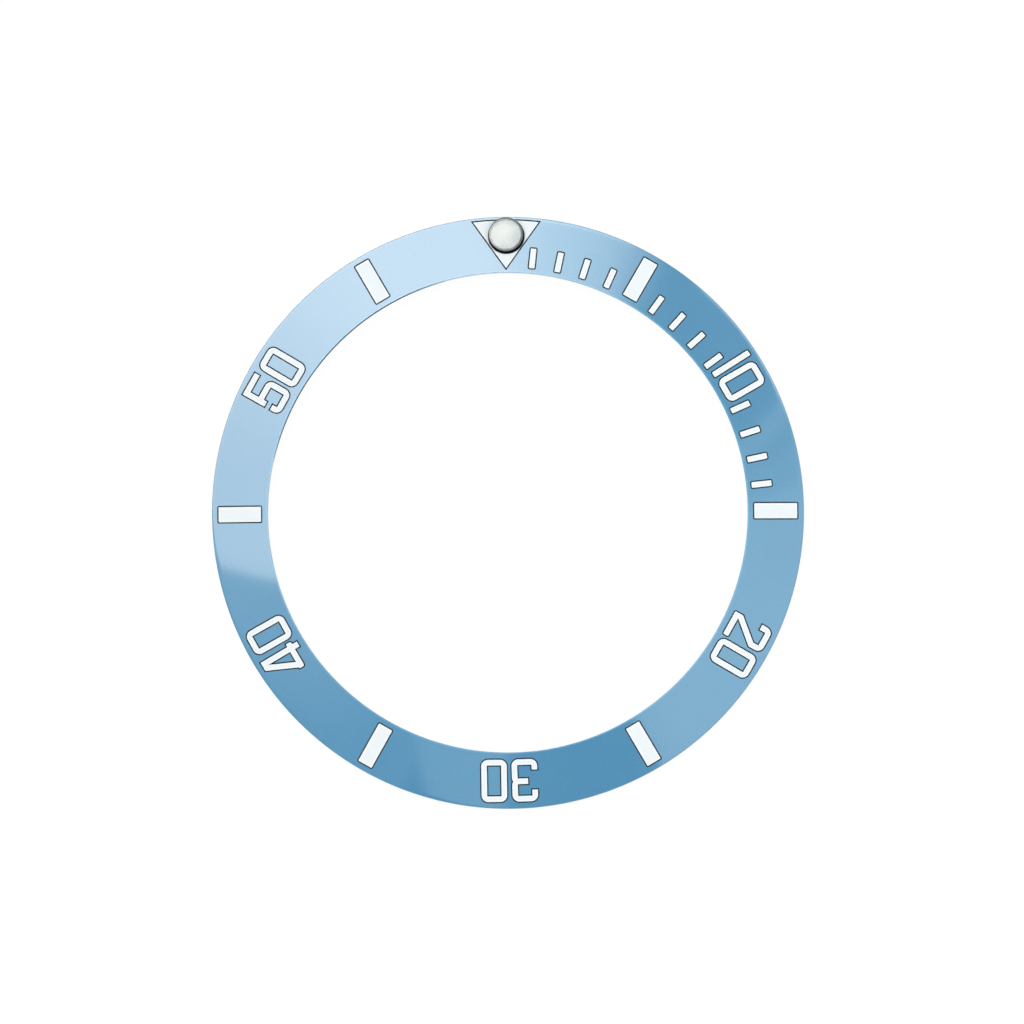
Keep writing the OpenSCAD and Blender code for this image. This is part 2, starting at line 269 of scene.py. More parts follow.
def grown(loop, distance):
    """The outline moved outwards, with as many points. A vanished edge shrinks to a corner."""
    along = np.roll(loop, -1, 0) - loop
    along /= np.linalg.norm(along, axis=1)[:, None]
    out = np.column_stack([along[:, 1], -along[:, 0]])
    moved = loop + distance * out
    kept = list(range(len(loop)))
    while True:
        # Corners where each moved edge meets the one before it
        corners = []
        for k, b in enumerate(kept):
            a = kept[k - 1]
            cross = along[a][0] * along[b][1] - along[a][1] * along[b][0]
            gap = moved[b] - moved[a]
            reach = (gap[0] * along[b][1] - gap[1] * along[b][0]) / cross
            corners.append(moved[a] + reach * along[a])
        corners = np.array(corners)
        # An edge with a length below zero has vanished
        length = ((np.roll(corners, -1, 0) - corners) * along[kept]).sum(1)
        if length.min() >= 0:
            break
        kept.pop(int(length.argmin()))
    ahead = np.searchsorted(kept, np.arange(len(loop))) % len(kept)
    return corners[ahead]


def unit_rows(vectors):
    """The vectors at a length of one. One without a length stays so."""
    return vectors / np.maximum(np.linalg.norm(vectors, axis=1), TINY)[:, None]


def outward(loop):
    """Outward direction in plan at each point of an outline."""
    along = unit_rows(np.roll(loop, -1, 0) - loop)
    out = np.column_stack([along[:, 1], -along[:, 0]])
    return unit_rows(out + np.roll(out, 1, 0))


def divided(loop, counts):
    """Each edge of an outline in so many equal pieces."""
    ends = np.roll(loop, -1, 0)
    pieces = [a + (b - a) * k / n for a, b, n in zip(loop, ends, counts) for k in range(n)]
    return np.array(pieces)


def edge_counts(loop):
    length = np.linalg.norm(np.roll(loop, -1, 0) - loop, axis=1)
    return np.ceil(length / EDGE_STEP).astype(int)


def is_hole(loop):
    x, y = loop.T
    return (x * np.roll(y, -1) - y * np.roll(x, -1)).sum() < 0


def distance_to(loops, points):
    """Distance of each point to the nearest edge of the outlines."""
    least = np.full(len(points), np.inf)
    for loop in loops:
        for a, b in zip(loop, np.roll(loop, -1, 0)):
            along = b - a
            share = np.clip((points - a) @ along / (along @ along + TINY_SQUARE), 0, 1)
            away = points - a - share[:, None] * along
            least = np.minimum(least, np.linalg.norm(away, axis=1))
    return least


# Meshes


def triangulate(loops, spare, accepts):
    """Triangles over the plan, each accepted by the numbers of the loops that hold it."""
    points = np.concatenate(loops + [spare])
    faces = []
    start = 0
    for loop in loops:
        order = list(range(start, start + len(loop)))
        faces.append(order[::-1] if is_hole(loop) else order)
        start += len(loop)
    coords = [Vector(p) for p in points]
    whole_hull = 0
    found, _, triangles, from_points, _, from_faces = geometry.delaunay_2d_cdt(
        coords, [], faces, whole_hull, CLOSE
    )
    place = np.array([points[o[0]] if o else tuple(v) for v, o in zip(found, from_points)])
    kept = [t for t, held in zip(triangles, from_faces) if accepts(held)]
    return place, kept


def is_odd(held):
    """Accepts what lies inside an outline and not in a hole of it."""
    return len(held) % 2 == 1


class Skin:
    """Points, faces and shading normals that are gathered stretch by stretch into one mesh."""

    def __init__(self):
        self.points = []
        self.normals = []
        self.faces = []
        self.kinds = []
        self.count = 0

    def add(self, points, normals, faces, kind=0):
        self.points.append(points)
        self.normals.append(normals)
        self.faces += [[i + self.count for i in face] for face in faces]
        self.kinds += [kind] * len(faces)
        self.count += len(points)

    def strip(self, first, second, first_normals, second_normals, kind=0):
        """Faces between two closed loops with as many points."""
        count = len(first)
        nexts = [(i + 1) % count for i in range(count)]
        faces = [[i, j, j + count, i + count] for i, j in enumerate(nexts)]
        points = np.concatenate([first, second])
        self.add(points, np.concatenate([first_normals, second_normals]), faces, kind)

    def revolve(self, section, normals, kind, count=AROUND):
        """Bands of a turned surface, each with the normal of its stretch of the section."""
        unit = circle(1, count)
        for (r1, z1), (r2, z2), (out, up) in zip(section, section[1:], normals):
            first = np.column_stack([unit * r1, np.full(count, z1)])
            second = np.column_stack([unit * r2, np.full(count, z2)])
            normal = np.column_stack([unit * out, np.full(count, up)])
            self.strip(first, second, normal, normal, kind)

    def mesh(self, name):
        """One closed mesh in millimetres. Its shading normals are in the attribute shade."""
        points = np.concatenate(self.points)
        normals = np.concatenate(self.normals)
        places = np.round(points, MESH_DECIMALS)
        _, first, same = np.unique(places, axis=0, return_index=True, return_inverse=True)
        same = same.ravel()
        faces, shades, kinds = [], [], []
        for face, kind in zip(self.faces, self.kinds):
            corners = [c for k, c in enumerate(face) if same[c] != same[face[k - 1]]]
            if len(set(same[corners])) < 3:
                continue
            place = points[corners]
            before = place - np.roll(place, 1, 0)
            after = np.roll(place, -1, 0) - place
            if np.cross(before, after).sum(0) @ normals[corners].sum(0) < 0:
                corners = corners[::-1]
            faces.append([int(same[c]) for c in corners])
            shades.append(normals[corners])
            kinds.append(kind)
        mesh = bpy.data.meshes.new(name)
        mesh.from_pydata(points[first], [], faces)
        mesh.attributes.new("shade", "FLOAT_VECTOR", "CORNER")
        write_shade(mesh, np.concatenate(shades))
        mesh.polygons.foreach_set("material_index", kinds)
        mesh.update()
        return mesh


def write_shade(mesh, normals):
    values = normals.astype(np.float32).ravel()
    mesh.attributes["shade"].data.foreach_set("vector", values)


def read_shade(mesh):
    values = np.zeros(len(mesh.loops) * 3, np.float32)
    mesh.attributes["shade"].data.foreach_get("vector", values)
    return values.reshape(-1, 3)


def smooth_by_shade(mesh):
    """Turns the attribute shade into the mesh's own normals."""
    shade = unit_rows(read_shade(mesh))
    mesh.attributes.remove(mesh.attributes["shade"])
    mesh.polygons.foreach_set("use_smooth", [True] * len(mesh.polygons))
    mesh.normals_split_custom_set(shade.tolist())


def smooth_by_angle(mesh):
    """Lets the mesh shade itself, with sharp edges where its faces meet steeply."""
    mesh.attributes.remove(mesh.attributes["shade"])
    mesh.polygons.foreach_set("use_smooth", [True] * len(mesh.polygons))
    mesh.set_sharp_from_angle(angle=SHARP_ANGLE)


def new_object(name, data):
    """An object in the scene, which shows a mesh, a lamp or a camera."""
    item = bpy.data.objects.new(name, data)
    bpy.context.scene.collection.objects.link(item)
    return item


def placed(name, mesh, materials, node):
    """A piece of the object, in metres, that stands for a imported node."""
    mesh.transform(Matrix.Scale(MM, 4))
    for material in materials:
        mesh.materials.append(material)
    piece = new_object(name, mesh)
    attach(piece, "root")
    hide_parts(node)


# The ring


def engrave(skin, loop):
    """Adds the edge, the ledge and the pocket wall of an outline. Returns its outermost loop."""
    counts = edge_counts(loop)
    angles = np.linspace(0, math.pi / 2, MARK_ROUND_STEPS)
    reaches = [OUTLINE + MARK_ROUND * (1 - math.sin(a)) for a in angles]
    depths = [MARK_ROUND * (1 - math.cos(a)) for a in angles]
    shapes = [divided(grown(loop, reach), counts) for reach in reaches]
    edge = divided(grown(loop, 0.0), counts)
    foot = shapes[-1]
    towards = np.column_stack([-outward(foot), np.zeros(len(foot))])
    levels = []
    for shape, depth, angle in zip(shapes, depths, angles):
        normals = surface_normal(shape) * math.cos(angle) + towards * math.sin(angle)
        levels.append((surface(shape, depth), normals))
    for (upper, upper_normals), (lower, lower_normals) in zip(levels, levels[1:]):
        skin.strip(upper, lower, upper_normals, lower_normals, POLISHED)
    ledge, ledge_end = surface(foot, LEDGE_DEPTH), surface(edge, LEDGE_DEPTH)
    skin.strip(surface(foot, MARK_ROUND), ledge, towards, towards, DARK_ENGRAVING)
    skin.strip(ledge, ledge_end, surface_normal(foot), surface_normal(edge), DARK_ENGRAVING)
    skin.strip(ledge_end, surface(edge, POCKET_DEPTH), towards, towards, DARK_ENGRAVING)
    return shapes[0]


def grid_points(marks):
    """Points of the polar grid of the face that keep clear of the marks."""
    bore_points, _, rim_points = MESH_POINTS
    radius = face_section(*MESH_POINTS)[0]
    inner = radius[bore_points - 1] + FINE_WIDTH
    outer = radius[-rim_points] - FINE_WIDTH
    rings = [circle(r, FACE_AROUND if inner <= r <= outer else AROUND) for r in radius[1:-1]]
    points = np.concatenate(rings)
    keep = np.ones(len(points), bool)
    for loop in marks:
        low = loop.min(0) - 2 * EDGE_STEP
        high = loop.max(0) + 2 * EDGE_STEP
        near = np.flatnonzero(((points > low) & (points < high)).all(1))
        keep[near[distance_to([loop], points[near]) < FACE_CLEARANCE]] = False
    return points[keep]


def add_face(skin, marks):
    """The face between its two edges and round the marks, with a strip at the bore that is painted
    paler as a painted highlight.
    """
    edges = [circle(EDGE), circle(BORE)]
    rim, bore, first_mark = 0, 1, len(edges)

    def on_face(held):
        in_mark = sum(number >= first_mark for number in held) % 2 == 1
        return rim in held and bore not in held and not in_mark

    plan, faces = triangulate(edges + marks, grid_points(marks), on_face)
    # Faces within the strip at the bore get the paler ceramic, which is a painted highlight
    painted_bore_highlight_end = BORE + PAINTED_BORE_HIGHLIGHT_WIDTH + CLOSE
    in_painted_bore_highlight = [np.hypot(*plan[list(face)].T).max() < painted_bore_highlight_end for face in faces]
    for kind, chosen in ((POLISHED, False), (PAINTED_BORE_HIGHLIGHT, True)):
        picked = [face for face, thin in zip(faces, in_painted_bore_highlight) if thin == chosen]
        skin.add(surface(plan), surface_normal(plan), picked, kind)


def add_floors(skin, outlines):
    """Floors of the pockets."""
    loops = [divided(loop, edge_counts(loop)) for loop in outlines]
    plan, faces = triangulate(loops, np.empty((0, 2)), is_odd)
    skin.add(surface(plan, POCKET_DEPTH), surface_normal(plan), faces, DARK_ENGRAVING)


def add_sides(skin):
    """Outer wall, flat back with its chamfers, and wall of the bore."""
    slant = math.sqrt(0.5)
    section = [
        (EDGE, TOP_HEIGHT[-1]), (EDGE, CHAMFER), (EDGE - CHAMFER, 0),
        (MIDDLE, 0), (BORE + CHAMFER, 0), (BORE, CHAMFER),
    ]
    skin.revolve(section, [OUT, (slant, -slant), DOWN, DOWN, (-slant, -slant)], GROUND)
    skin.revolve([(BORE, CHAMFER), (BORE, TOP_HEIGHT[0])], [IN], WALL)


def pip_frame():
    """Frame of the pip, in millimetres: its origin is on the face and its Z is square to it."""
    turn = Matrix.Rotation(-SLOPE, 4, "X")
    return Matrix.Translation(Vector((0, PIP_DISTANCE, face_height(PIP_DISTANCE)))) @ turn


def shift_foot(mesh, highest):
    """Moves what is wider than the neck of the pip, up to a height, off centre towards the side of
    its painted shadow.
    """
    margin = 0.006
    for vertex in mesh.vertices:
        x, y, z = vertex.co
        if math.hypot(x, y) > PIP_NECK + margin and z < highest + margin:
            vertex.co.x += FOOT_SHADOW_SHIFT[0]
            vertex.co.y += FOOT_SHADOW_SHIFT[1]


def pip_cutter():
    """Solid that cuts the seat and the through hole of the pip, in millimetres."""
    skin = Skin()
    section = [
        (0, CUTTER_TOP), (SEAT_RADIUS, CUTTER_TOP), (SEAT_RADIUS, -SEAT_DEPTH),
        (STEM_HOLE, -SEAT_DEPTH), (STEM_HOLE, -CUTTER_DEPTH), (0, -CUTTER_DEPTH),
    ]
    skin.revolve(section, [UP, OUT, DOWN, OUT, DOWN], GROUND, PIP_AROUND)
    mesh = skin.mesh("pip_cutter")
    shift_foot(mesh, CUTTER_TOP)
    matrix = pip_frame()
    mesh.transform(matrix)
    # The cutter's walls become walls of the ring, which face the other way
    write_shade(mesh, -read_shade(mesh) @ np.array(matrix.to_3x3()).T)
    return mesh


def cut(mesh, cutter):
    """The mesh without the cutter's space."""
    body, tool = new_object("cut", mesh), new_object("cut", cutter)
    modifier = body.modifiers.new("cut", "BOOLEAN")
    modifier.operation = "DIFFERENCE"
    modifier.solver = "EXACT"
    modifier.object = tool
    modifier.material_mode = "INDEX"
    ready = body.evaluated_get(bpy.context.evaluated_depsgraph_get())
    result = bpy.data.meshes.new_from_object(ready)
    for item in (body, tool):
        bpy.data.objects.remove(item)
    return result


def make_ring(outlines, materials):
    """The ring with its engraved marks, and with the seat and hole of the pip."""
    skin = Skin()
    marks = [engrave(skin, loop) for loop in outlines]
    add_face(skin, marks)
    add_floors(skin, outlines)
    add_sides(skin)
    mesh = cut(skin.mesh("ring"), pip_cutter())
    smooth_by_shade(mesh)
    placed("ring", mesh, materials, "bezel_ring")


# The fills of the marks


def paint_plan(borders):
    """Points and triangles over a fill, from its borders and a fine grid inside them."""
    low = np.min([b.min(0) for b in borders], axis=0)
    high = np.max([b.max(0) for b in borders], axis=0)
    # Every other row is shifted by half a step, which makes even triangles
    row_step = PAINT_STEP * math.sqrt(0.75)
    xs = np.arange(low[0], high[0], PAINT_STEP)
    ys = np.arange(low[1], high[1], row_step)
    grid = np.array([(x + (k % 2) * PAINT_STEP / 2, y) for k, y in enumerate(ys) for x in xs])
    grid = grid[distance_to(borders, grid) > PAINT_CLEARANCE]
    plan, faces = triangulate(borders, grid, is_odd)
    used = sorted({i for face in faces for i in face})
    number = {i: k for k, i in enumerate(used)}
    return plan[used], [[number[i] for i in face] for face in faces]


def make_paint(node, loops, material):
    """A fill with a slightly dished top."""
    borders = [divided(loop, edge_counts(loop)) for loop in loops]
    plan, faces = paint_plan(borders)
    inside = distance_to(borders, plan)
    top = surface(plan, LEDGE_DEPTH + DISH * (1 - np.exp(-((inside / DISH_WIDTH) ** 2))))
    skin = Skin()
    skin.add(top, surface_normal(plan), faces)
    skin.add(surface(plan, POCKET_DEPTH), -surface_normal(plan), faces)
    for border in borders:
        side = np.column_stack([outward(border), np.zeros(len(border))])
        skin.strip(surface(border, LEDGE_DEPTH), surface(border, POCKET_DEPTH), side, side)
    mesh = skin.mesh("paint_" + node)
    smooth_by_angle(mesh)
    # 0 at the border of the fill and 1 well inside it, which fades out the painted highlight of the
    # border
    place = np.array([v.co[:2] for v in mesh.vertices])
    share = np.clip(distance_to(borders, place) / BORDER_HIGHLIGHT_WIDTH, 0, 1)
    attribute = mesh.attributes.new("inside", "FLOAT", "POINT")
    attribute.data.foreach_set("value", share.astype(np.float32))
    placed("paint_" + node, mesh, [material], node)


# The pip


def all_bright(radius, height):
    return False


def turned_piece(name, section, materials, node, in_shade=all_bright, foot=None):
    """A piece of the pip, turned about its axis. The section runs from the axis and back to it."""
    skin = Skin()
    section = np.array(section, float)
    along = np.diff(section, axis=0)
    along /= np.linalg.norm(along, axis=1)[:, None]
    side = np.column_stack([along[:, 1], -along[:, 0]])
    for a, b, normal in zip(section, section[1:], side):
        kind = int(in_shade(*(a + b) / 2))
        skin.revolve([a, b], [normal], kind, PIP_AROUND)
    mesh = skin.mesh(name)
    smooth_by_angle(mesh)
    if foot is not None:
        shift_foot(mesh, foot)
    mesh.transform(pip_frame())
    placed(name, mesh, materials, node)


def arc(centre, radius, start, end, count=ARC_STEPS):
    """Points of an arc in the section of a turned piece, by angles in degrees."""
    angles = np.radians(np.linspace(start, end, count))
    return [(centre[0] + radius * math.cos(a), centre[1] + radius * math.sin(a)) for a in angles]


def cap(radius, edge, rise, count=CAP_STEPS):
    """Half a dome in section, from its edge up to the axis."""
    curve = (radius ** 2 + rise ** 2) / (2 * rise)
    opening = math.degrees(math.asin(radius / curve))
    return arc((0, edge + rise - curve), curve, 90 - opening, 90, count)


def make_cup(bright, dark):
    """Cup with a sloping lip, and a side, neck, foot and inner wall that are near-black as painted
    shade.
    """
    # The stem ends just above the back of the ring
    end = (face_height(PIP_DISTANCE) - STEM_END) / math.cos(SLOPE)
    end -= STEM_RADIUS * math.tan(SLOPE)
    top = PIP_HEIGHT - TRIM
    crest = PIP_HEAD - PIP_ROUND
    slope = math.radians(LIP_SLOPE)
    lip_width = crest + PIP_ROUND * math.sin(slope) - CUP_RADIUS
    centre = top - lip_width * math.tan(slope) - PIP_ROUND * math.cos(slope)
    section = [
        (0, -end), (STEM_RADIUS, -end), (STEM_RADIUS, -SEAT_DEPTH), (PIP_FOOT, -SEAT_DEPTH),
        (PIP_FOOT, FOOT_TOP), (PIP_NECK, FOOT_TOP), (PIP_NECK, NECK_TOP),
    ]
    section += arc((crest, centre), PIP_ROUND, LIP_START, 90 - LIP_SLOPE)
    section += [(CUP_RADIUS, top), (CUP_RADIUS, CUP_FLOOR), (0, CUP_FLOOR)]

    # Faces that take the near-black steel, which is painted shade
    def in_shade(radius, height):
        outside = height < centre and radius > STEM_RADIUS
        return outside or (radius <= CUP_RADIUS and height > CUP_FLOOR)

    turned_piece("cup", section, [bright, dark], "pip_cup", in_shade, FOOT_TOP)


def make_lume(material):
    """Luminous compound, which fills the cup and is domed."""
    section = [(0, CUP_FLOOR), (CUP_RADIUS, CUP_FLOOR)] + cap(CUP_RADIUS, LUME_EDGE, LUME_RISE)
    turned_piece("lume", section, [material], "pip_lume")


def make_lens(material):
    """Clear cover, a thin shell over the compound."""
    under = cap(LENS_RADIUS, LUME_EDGE + LENS_GAP, LUME_RISE)[::-1]
    section = under + cap(LENS_RADIUS, LENS_EDGE, LENS_RISE, LENS_STEPS)
    turned_piece("lens", section, [material], "pip_lens")


# Directions and node trees


def compass(azimuth, distance):
    """Point in plan at an azimuth in degrees, clockwise from twelve o'clock."""
    angle = math.radians(azimuth)
    return distance * math.sin(angle), distance * math.cos(angle)


class Tree:
    """Nodes of a material or of the world, with short calls for what the looks use."""

    def __init__(self, owner):
        owner.use_nodes = True
        self.nodes = owner.node_tree.nodes
        self.links = owner.node_tree.links

    def feed(self, socket, value):
        """Links an output to a socket, or writes a plain value on it."""
        if isinstance(value, bpy.types.NodeSocket):
            self.links.new(value, socket)
        elif socket.type == "RGBA":
            socket.default_value = (*value, 1.0)
        else:
            socket.default_value = value

    def outputs(self, kind, **inputs):
        """Outputs of a new node whose inputs are given by name, with _ for a space."""
        node = self.nodes.new(kind)
        for name, value in inputs.items():
            self.feed(node.inputs[name.replace("_", " ")], value)
        return node.outputs

    def calculated(self, kind, operation, *values):
        """Outputs of a new node that calculates with its first inputs."""
        node = self.nodes.new(kind)
        node.operation = operation
        for socket, value in zip(node.inputs, values):
            self.feed(socket, value)
        return node.outputs

    def math(self, operation, *values):
        return self.calculated("ShaderNodeMath", operation, *values)["Value"]

    def vector_math(self, operation, *values):
        return self.calculated("ShaderNodeVectorMath", operation, *values)

    def ramp(self, value, start, end, low=0.0, high=1.0, kind="LINEAR"):
        """From low at start to high at end, where the end may be the smaller."""
        if start > end:
            start, end, low, high = end, start, high, low
        node = self.nodes.new("ShaderNodeMapRange")
        node.interpolation_type = kind
        names = ("Value", "From Min", "From Max", "To Min", "To Max")
        for name, number in zip(names, (value, start, end, low, high)):
            self.feed(node.inputs[name], number)
        return node.outputs["Result"]

    def mixed(self, share, first, second):
        """Mix of two colours."""
        node = self.nodes.new("ShaderNodeMix")
        node.data_type = "RGBA"
        sockets = {socket.identifier: socket for socket in node.inputs}
        self.feed(sockets["Factor_Float"], share)
        self.feed(sockets["A_Color"], first)
        self.feed(sockets["B_Color"], second)
        return next(s for s in node.outputs if s.identifier == "Result_Color")


# Materials

# Darker and paler tone of each finish
TONES = {
    "polished": ((0.078, 0.279, 0.497), (0.085, 0.291, 0.511)),
    "speck": ((0.97, 0.97, 0.97), (1.03, 1.03, 1.03)),
    # Paler ceramic of the strip at the bore: painted highlight
    "thin": ((0.110, 0.362, 0.600), (0.120, 0.386, 0.630)),
    "ground": ((0.055, 0.200, 0.365), (0.080, 0.255, 0.440)),
    "wall": ((0.040, 0.130, 0.235), (0.060, 0.170, 0.290)),
    # Tone of the stretch of the bore's wall that is darkened as painted shade
    "wall_painted_shade": ((0.022, 0.050, 0.080), (0.035, 0.072, 0.108)),
    "dark_engraving": ((0.004, 0.007, 0.013), (0.012, 0.020, 0.032)),
    "paint": ((0.840, 0.890, 0.935), (0.865, 0.905, 0.945)),
    "steel": ((0.150, 0.162, 0.177), (0.195, 0.208, 0.226)),
    # Near-black steel of the pip's side, neck, foot and inner wall: painted shade
    "painted_shade_steel": ((0.004, 0.005, 0.006), (0.014, 0.015, 0.017)),
    "lume": ((0.600, 0.612, 0.612), (0.635, 0.647, 0.647)),
}
# Whiter colour of the lacquer at its border, a painted highlight of the dished edge
PAINT_BORDER_HIGHLIGHT = (0.940, 0.950, 0.980)
LENS_TINT = (0.985, 0.988, 0.985)
BLACK = (0.0, 0.0, 0.0)
WHITE = (1.0, 1.0, 1.0)
CERAMIC_IOR = 2.1
# Most of a noise lies between these values
NOISE_SPAN = (0.3, 0.7)
# The dark, rough stretch of the bore's wall, whose darkness is painted shade: azimuth of its
# middle, and the cosines of the angles from there at which it begins and is full
MATT_PAINTED_SHADE_AZIMUTH = 314
MATT_PAINTED_SHADE_SPAN = (0.85, 0.94)


class Finish(Tree):
    """A material whose tone, gloss and relief come from noise over the object."""

    def __init__(self, name):
        self.material = bpy.data.materials.new(name)
        super().__init__(self.material)
        self.shader = self.nodes["Principled BSDF"]
        self.place = self.nodes.new("ShaderNodeTexCoord").outputs["Object"]

    def shade(self, **inputs):
        """Feeds the shader's inputs, given by name, with _ for a space."""
        for name, value in inputs.items():
            self.feed(self.shader.inputs[name.replace("_", " ")], value)

    def noise(self, scale, detail=2.0):
        """Noise with so many cells to the metre."""
        kind = "ShaderNodeTexNoise"
        return self.outputs(kind, Vector=self.place, Scale=scale, Detail=detail)["Fac"]

    def spread(self, noise, low=0.0, high=1.0):
        """The usual span of a noise, stretched from low to high."""
        return self.ramp(noise, *NOISE_SPAN, low, high)

    def tone(self, share, name):
        return self.mixed(share, *TONES[name])

    def relief(self, noise, depth):
        """Bumps of so many millimetres."""
        bump = self.outputs("ShaderNodeBump", Strength=1.0, Distance=depth * MM, Height=noise)
        self.shade(Normal=bump["Normal"])


def polished_ceramic():
    """Face of the ring, polished, with slight clouds and specks."""
    finish = Finish("ceramic_polished")
    cloud = finish.spread(finish.noise(scale=220))
    speck = finish.spread(finish.noise(scale=6500, detail=3))
    tones = finish.tone(cloud, "polished"), finish.tone(speck, "speck")
    finish.shade(Base_Color=finish.vector_math("MULTIPLY", *tones)["Vector"], IOR=CERAMIC_IOR)
    finish.shade(Roughness=finish.ramp(cloud, 0, 1, low=0.055, high=0.07))
    finish.relief(finish.noise(scale=330), depth=0.0002)
    return finish.material


def painted_bore_highlight_ceramic():
    """Polished edge of the bore, whose paler colour is a painted highlight that stands in for light
    from the wall.
    """
    finish = Finish("ceramic_painted_bore_highlight")
    grain = finish.spread(finish.noise(scale=6500, detail=3))
    finish.shade(Base_Color=finish.tone(grain, "thin"), Roughness=0.1, IOR=CERAMIC_IOR)
    return finish.material


def ground_ceramic():
    """Outer wall and back of the ring."""
    finish = Finish("ceramic_ground")
    grain = finish.noise(scale=9000, detail=4)
    finish.shade(Base_Color=finish.tone(grain, "ground"), Roughness=0.55, IOR=1.6)
    finish.relief(grain, depth=0.01)
    return finish.material


def wall_ceramic():
    """Wall of the bore, polished but for a dark, rough stretch on the upper left, whose darkness is
    painted shade.
    """
    finish = Finish("ceramic_wall")
    grain = finish.noise(scale=9000, detail=4)
    middle = (*compass(MATT_PAINTED_SHADE_AZIMUTH, 1 / (BORE * MM)), 0)
    cosine = finish.vector_math("DOT_PRODUCT", finish.place, middle)["Value"]
    # Where the wall is rougher and darker; the darkness is painted shade
    rough_painted_shade = finish.ramp(cosine, *MATT_PAINTED_SHADE_SPAN)
    tones = finish.tone(grain, "wall"), finish.tone(grain, "wall_painted_shade")
    finish.shade(Base_Color=finish.mixed(rough_painted_shade, *tones), IOR=1.15)
    finish.shade(Roughness=finish.ramp(rough_painted_shade, 0, 1, low=0.1, high=0.8))
    return finish.material


def dark_engraving_ceramic():
    """Ledge, pocket walls and floors of the engraving, in a near-black tone."""
    finish = Finish("ceramic_dark_engraving")
    grain = finish.noise(scale=14000, detail=3)
    finish.shade(Base_Color=finish.tone(grain, "dark_engraving"), Roughness=0.6, IOR=1.4)
    return finish.material


def white_paint():
    """Lacquer of the marks, whiter towards its border as a painted highlight of its dished edge."""
    finish = Finish("paint_white")
    cloud = finish.spread(finish.noise(scale=900))
    inside = finish.nodes.new("ShaderNodeAttribute")
    inside.attribute_name = "inside"
    middle = finish.tone(cloud, "paint")
    colour = finish.mixed(inside.outputs["Fac"], PAINT_BORDER_HIGHLIGHT, middle)
    finish.shade(Base_Color=colour, Roughness=0.55, IOR=1.4)
    finish.relief(finish.noise(scale=12000, detail=3), depth=0.004)
    return finish.material


def steel():
    """Lip of the cup."""
    finish = Finish("pip_steel")
    cloud = finish.spread(finish.noise(scale=3000))
    finish.shade(Base_Color=finish.tone(cloud, "steel"), Metallic=1.0)
    finish.shade(Roughness=finish.spread(finish.noise(scale=9000), low=0.2, high=0.3))
    finish.relief(finish.noise(scale=12000, detail=3), depth=0.003)
    return finish.material


def painted_shade_steel():
    """Side, neck, foot and inner wall of the cup, near-black as painted shade."""
    finish = Finish("pip_painted_shade_steel")
    grain = finish.noise(scale=9000, detail=3)
    finish.shade(Base_Color=finish.tone(grain, "painted_shade_steel"), Metallic=1.0, Roughness=0.35)
    return finish.material


def luminous():
    """Grainy luminous compound."""
    finish = Finish("pip_luminous")
    grain = finish.spread(finish.noise(scale=5000, detail=4))
    finish.shade(Base_Color=finish.tone(grain, "lume"), Roughness=0.8)
    finish.relief(finish.noise(scale=16000, detail=3), depth=0.006)
    return finish.material


def clear():
    """Clear cover. Light goes straight through it, less what its polish reflects."""
    finish = Finish("pip_clear")
    finish.shade(Base_Color=BLACK, IOR=1.42)
    finish.shade(Roughness=finish.spread(finish.noise(scale=1500), low=0.03, high=0.08))
    through = finish.outputs("ShaderNodeBsdfTransparent", Color=LENS_TINT)
    both = finish.nodes.new("ShaderNodeAddShader")
    finish.feed(both.inputs[0], finish.shader.outputs["BSDF"])
    finish.feed(both.inputs[1], through["BSDF"])
    finish.feed(finish.nodes["Material Output"].inputs["Surface"], both.outputs["Shader"])
    return finish.material


# The studio

FLOOR_SIDE = 3.0
FLOOR_DROP = 0.02 * MM
FLOOR_TONE = (0.8, 0.8, 0.8)
# How much of the floor that is seen glows, and how strongly
FLOOR_GLOW_SHARE = 0.93
FLOOR_GLOW = 1.03

KEY_DISTANCE = 0.65
KEY_AZIMUTH = 331
KEY_POLAR = 12
KEY_RADIUS = 0.15
KEY_RADIANCE = 1.2

CAMERA_DISTANCE = 2.5
CAMERA_LEAN = 1.9
CAMERA_LEAN_AZIMUTH = 138
CAMERA_ROLL = 0.38
CAMERA_SENSOR = 36
# The photograph's side in pixels, its pixels to the millimetre, and the ring's middle in it
PHOTO_SIDE = 1024
SCALE = 15.582
MIDDLE_PIXEL = (507.85, 512.7)

# Light cards stand round the object in rows. Each start and end of a row is soft, from an
# angle at which it is dark to one at which it is full, in degrees from overhead.
ZENITH_END = (19, 14)
HORIZON_START = (39, 47)
BELT_START = (14, 19)
BELT_END = (47, 39)
LOW_START = (27.5, 29.5)
LOW_END = (40, 37)
LOWEST_START = (29, 33)
LOWEST_END = (47, 44)
# A slanted end of a card turns with height, and has its azimuth at this angle from overhead
SLANT_LEVEL = 24

# Light of the whole rows
ZENITH_LIGHT = (1.60, 1.60, 1.60)
HORIZON_LIGHT = (0.14, 0.14, 0.165)
BELT_LIGHT = (0.18, 0.19, 0.16)

